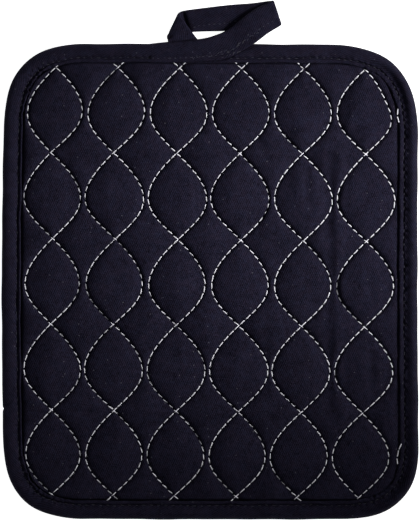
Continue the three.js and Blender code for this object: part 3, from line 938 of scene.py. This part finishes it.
def tape_stitches():
    """Places and directions of the stitches along the loop's outer edge, on its upper face, as
    far as its second fold."""
    surface, reach, width, edges, seam = loop_surface()
    row = edges[:, :3] + (edges[:, 3:] - edges[:, :3]) * (seam / width)
    middle = len(tape_section()) // 2
    faces = []
    for face in (surface[:, :middle], surface[:, middle:-1]):
        faces.append(face[np.arange(len(face)), nearest_to(face, row)])
    higher = (faces[0][:, 2] >= faces[1][:, 2])[:, None]
    line = np.where(higher, faces[0], faces[1])
    marks = np.arange(1.5, reach[-2 * SPAN_STEPS - FOLD_STEPS], STITCH_PITCH * 0.72)
    spots = points_at(line, reach, marks)
    ways = unit(np.gradient(spots, axis=0))
    level = np.abs(ways[:, 2]) < 0.5
    return spots[level] + [0, 0, 0.03], ways[level]


def backtack():
    """Loose stitches where the loop was sewn down, in short listed rows: each has two
    ends, a number of stitches and a turn off the row, and lies on the tail."""
    chance = np.random.default_rng(14)
    spots, angles = [], []
    for x0, y0, x1, y1, count, turn in BACKTACK:
        row = blend(np.array([x0, y0]), np.array([x1, y1]), np.linspace(0, 1, count)[:, None])
        spots.append(row + chance.normal(0, 0.3, (count, 2)))
        angles.append(np.arctan2(y1 - y0, x1 - x0) + turn + chance.normal(0, 0.3, count))
    spots = np.vstack(spots)
    surface = loop_surface()[0]
    faces = surface[: 6 * SPAN_STEPS, : len(tape_section()) // 2].reshape(-1, 3)
    centres = np.column_stack([spots, faces[nearest_to(faces[None], spots), 2] + 0.05])
    return centres, headings(np.hstack(angles))


def binding_stitches():
    """All dark stitches: the binding's own row, the row along the loop and its backtack."""
    rows = zip(furrow_stitches(), tape_stitches(), backtack())
    centres, ahead = (np.vstack(row) for row in rows)
    chance = np.random.default_rng(15)
    centres = centres + chance.normal(0, 0.12, centres.shape) * [1, 1, 0.3]
    ahead = unit(ahead + chance.normal(0, 0.12, ahead.shape) * [1, 1, 0])
    length = TRIM_LENGTH * chance.uniform(0.5, 1.25, len(centres))
    return dashes("binding_stitches", centres, ahead, UP, length, TRIM_RADIUS, 0.25)


class Signal:
    """A value on its way through a material. Arithmetic on it adds Math nodes."""

    def __init__(self, finish, socket):
        self.finish = finish
        self.socket = socket

    def math(self, operation, *others):
        return self.finish.node("ShaderNodeMath", {"operation": operation}, self, *others)

    def __add__(self, other):
        return self.math("ADD", other)

    def __mul__(self, other):
        return self.math("MULTIPLY", other)

    def __sub__(self, other):
        return self.math("SUBTRACT", other)

    def sine(self):
        return self.math("SINE")

    def clipped(self, low, high):
        """0 at low and 1 at high, held between them; low may be the larger."""
        settings = {"interpolation_type": "SMOOTHSTEP"}
        return self.finish.node("ShaderNodeMapRange", settings, self, low, high, 0.0, 1.0)


class Finish:
    """One material under construction, with its Principled shader."""

    def __init__(self, name, **constants):
        self.material = bpy.data.materials.new(name)
        self.material.use_nodes = True
        self.tree = self.material.node_tree
        self.shader = next(n for n in self.tree.nodes if n.type == "BSDF_PRINCIPLED")
        for socket, value in constants.items():
            self.shader.inputs[socket.replace("_", " ")].default_value = value

    def node(self, kind, settings, *values, output=0, **named):
        """A node of any kind: its settings first, then values or links for its sockets."""
        made = self.tree.nodes.new(kind)
        for key, value in settings.items():
            setattr(made, key, value)
        for key, value in [*enumerate(values), *named.items()]:
            socket = made.inputs[key.replace("_", " ") if isinstance(key, str) else key]
            if isinstance(value, Signal):
                self.tree.links.new(value.socket, socket)
            elif value is not None:
                socket.default_value = value
        return Signal(self, made.outputs[output])

    def feed(self, socket, signal):
        self.tree.links.new(signal.socket, self.shader.inputs[socket])

    def place(self, cloth=False):
        """Object coordinates in millimetres, or the cloth's own length and width from its UV
        map, as a vector and its three parts."""
        if cloth:
            at = self.node("ShaderNodeUVMap", {"uv_map": "cloth"})
        else:
            at = self.node("ShaderNodeTexCoord", {}, output="Object")
        scaled = self.node("ShaderNodeVectorMath", {"operation": "SCALE"}, at, Scale=1 / MM)
        return scaled, *self.parts(scaled)

    def parts(self, vector):
        split = self.node("ShaderNodeSeparateXYZ", {}, vector)
        return [Signal(self, split.socket.node.outputs[axis]) for axis in "XYZ"]

    def noise(self, vector, pitch, detail=2.0):
        """Noise from 0 to 1 whose patches are about the pitch across, in the vector's units."""
        return self.node("ShaderNodeTexNoise", {}, vector, Scale=1 / pitch, Detail=detail)

    def colour(self, dark, light, share):
        """A colour between two, by a share. A colour mix takes them on its sockets 6 and 7."""
        ends = [(*end, 1.0) if isinstance(end, tuple) else end for end in (dark, light)]
        values = (share, *[None] * 5, *ends)
        return self.node("ShaderNodeMix", {"data_type": "RGBA"}, *values, output=2)

    def relief(self, height, depth):
        """Small relief from a height of 0 to 1, the depth in millimetres."""
        bump = self.node("ShaderNodeBump", {}, Height=height, Distance=depth * MM, Strength=1.0)
        self.feed("Normal", bump)


def lint(finish, vector, spacing, size):
    """Sparse pale specks: some cells of a Voronoi pattern have one at their middle."""
    flat = {"voronoi_dimensions": "2D"}
    near = finish.node("ShaderNodeTexVoronoi", flat, vector, Scale=1 / spacing)
    chance = finish.parts(Signal(finish, near.socket.node.outputs["Color"]))[0]
    return near.clipped(size / spacing, 0.3 * size / spacing) * chance.clipped(0.5, 1.0)


def twill(finish, vector, length, width, angle):
    """Ribs of the weave from 0 to 1: a sine across them, broken along them into floats, and
    made uneven by the yarn."""
    sine, cosine = float(np.sin(np.radians(angle))), float(np.cos(np.radians(angle)))
    across = length * sine - width * cosine
    along = length * cosine + width * sine
    sway = finish.noise(vector, 3.0) * 0.5
    rib = ((across * (2 * np.pi / TWILL_PITCH) + sway * 2.0).sine() + 1) * 0.5
    step = across * (1.7 / TWILL_PITCH)
    floats = ((along * (2 * np.pi / 1.15) + step * np.pi).sine() + 1) * 0.5
    return rib * (floats * 0.35 + 0.65)


def twill_cloth(name, tape):
    """Blue-black cotton twill with faded ribs, soft mottling and sparse lint; on the pad, painted
    shade darkens the low face by the stitches and at the rim.
    """
    finish = Finish(name, Roughness=0.9, Specular_IOR_Level=0.05)
    where, x, y, z = finish.place()
    vector, length, width, _ = finish.place(cloth=True) if tape else (where, x, y, z)
    ribs = twill(finish, vector, length, width, -TAPE_TWILL_ANGLE if tape else TWILL_ANGLE)
    yarn = finish.noise(vector, 0.6, 1.5)
    pile = finish.noise(where, 2.4, 3.0)
    clouds = finish.noise(where, 9.0, 3.0)
    shade = ribs * 0.56 + (yarn - 0.5) * 1.15 + (pile - 0.5) * 0.65 + (clouds - 0.5) * 0.4 + 0.24
    if not tape:
        # Painted shade: the pad's cloth is darker where its face is low, in the channels by the
        # stitches and at the rim, as the hollows are shaded.
        shade = shade - z.clipped(5.4, 3.7) * 0.12
    tint = ((finish.noise(where, 2.6, 3.0) - 0.5) * 2.2 + 0.5).clipped(0.0, 1.0)
    faded = finish.colour((0.0218, 0.0214, 0.0448), (0.0252, 0.0202, 0.0402), tint)
    cloth = finish.colour((0.0015, 0.0012, 0.0035), faded, shade)
    fluff = lint(finish, vector, 7.0, 0.4) * 0.6 + lint(finish, vector, 2.3, 0.32) * 0.13
    finish.feed("Base Color", finish.colour(cloth, (0.13, 0.125, 0.15), fluff))
    finish.relief(ribs * 0.6 + yarn * 0.3 + pile * 0.7, 0.14)
    return finish.material


def thread(name, dark, light):
    """Matt sewing thread, its two plies shown by painted slanting shade and a slanting bump."""
    finish = Finish(name, Roughness=0.75, Specular_IOR_Level=0.3, Sheen_Weight=0.1)
    where, x, y, _ = finish.place()
    # Painted shade: darker slanting stripes between the thread's plies, also used as their bump.
    ply_groove_shade = ((x * 5.5 + y * 4.1).sine() + 1) * 0.5
    fibre = finish.noise(where, 0.35, 2.0)
    finish.feed("Base Color", finish.colour(dark, light, ply_groove_shade * 0.35 + fibre * 0.65))
    finish.relief(ply_groove_shade * 0.5 + fibre * 0.5, 0.06)
    return finish.material


def dress(piece, material, replaced=None):
    """A piece with its material and the node that it replaces."""
    piece.data.materials.append(material)
    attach(piece, "root")
    if replaced:
        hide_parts(replaced)
    return piece


def build_trivet():
    """All pieces of the trivet, each dressed."""
    pad_cloth = twill_cloth("pad_twill", tape=False)
    tape_cloth = twill_cloth("tape_twill", tape=True)
    white = thread("white_thread", (0.78, 0.76, 0.86), (0.98, 0.97, 1.0))
    dark = thread("dark_thread", (0.015, 0.014, 0.024), (0.09, 0.088, 0.115))
    pad = dress(quilted_panel(), pad_cloth, "quilted_pad")
    tape = dress(edge_binding(), tape_cloth, "edge_binding")
    loop = dress(hanging_loop(), tape_cloth, "hanging_loop")
    dress(quilting_stitches(), white)
    dress(under_stitches(), white)
    dress(binding_stitches(), dark)


# Studio: a pale floor, a soft box at the right and a camera straight above.
VIEW_SPAN = 251.7
CAMERA_HEIGHT = 1300.0
VIEW_MIDDLE = (-0.19, 0.1)
SENSOR = 36.0
KEY_PLACE = (0.442, 0.088, 0.311)
KEY_AIM = (-0.016, 0.03, 0.0)
KEY_POWER = 0.224
KEY_SIZE = 0.12
KEY_SPREAD = 39.5
SKY = 0.165
FLOOR_REACH = 3.0


def floor():
    """A wide pale floor that glows a little, as a photo's blank ground does."""
    finish = Finish(
        "pale_floor", Roughness=0.9, Specular_IOR_Level=0.1, Base_Color=(0.9, 0.9, 0.9, 1),
        Emission_Color=(1, 1, 1, 1), Emission_Strength=1.0,
    )
    bpy.ops.mesh.primitive_plane_add(size=2 * FLOOR_REACH)
    ground = bpy.context.object
    ground.name = "floor"
    ground.data.materials.append(finish.material)


def lights_and_camera():
    """A soft box, a dim sky and a camera straight above that sees the photo's width."""
    scene = bpy.context.scene
    scene.view_settings.view_transform = "Standard"
    world = bpy.data.worlds.new("studio")
    world.use_nodes = True
    sky = world.node_tree.nodes["Background"].inputs
    sky["Color"].default_value, sky["Strength"].default_value = (0.96, 0.97, 1, 1), SKY
    scene.world = world
    key = bpy.data.lights.new("key", "AREA")
    key.energy = KEY_POWER
    key.size = KEY_SIZE
    key.spread = np.radians(KEY_SPREAD)
    box, away = bpy.data.objects.new("key", key), np.subtract(KEY_PLACE, KEY_AIM)
    tilt, turn = np.arccos(away[2] / np.linalg.norm(away)), np.arctan2(away[1], away[0])
    box.location, box.rotation_euler = KEY_PLACE, (tilt, 0, turn + np.pi / 2)
    scene.collection.objects.link(box)
    lens = bpy.data.cameras.new("camera")
    lens.sensor_width = SENSOR
    lens.lens = SENSOR * (CAMERA_HEIGHT - STITCH_HEIGHT) / VIEW_SPAN
    camera = bpy.data.objects.new("camera", lens)
    camera.location = np.array([*VIEW_MIDDLE, CAMERA_HEIGHT]) * MM
    scene.collection.objects.link(camera)
    scene.camera = camera


build_trivet()
floor()
lights_and_camera()
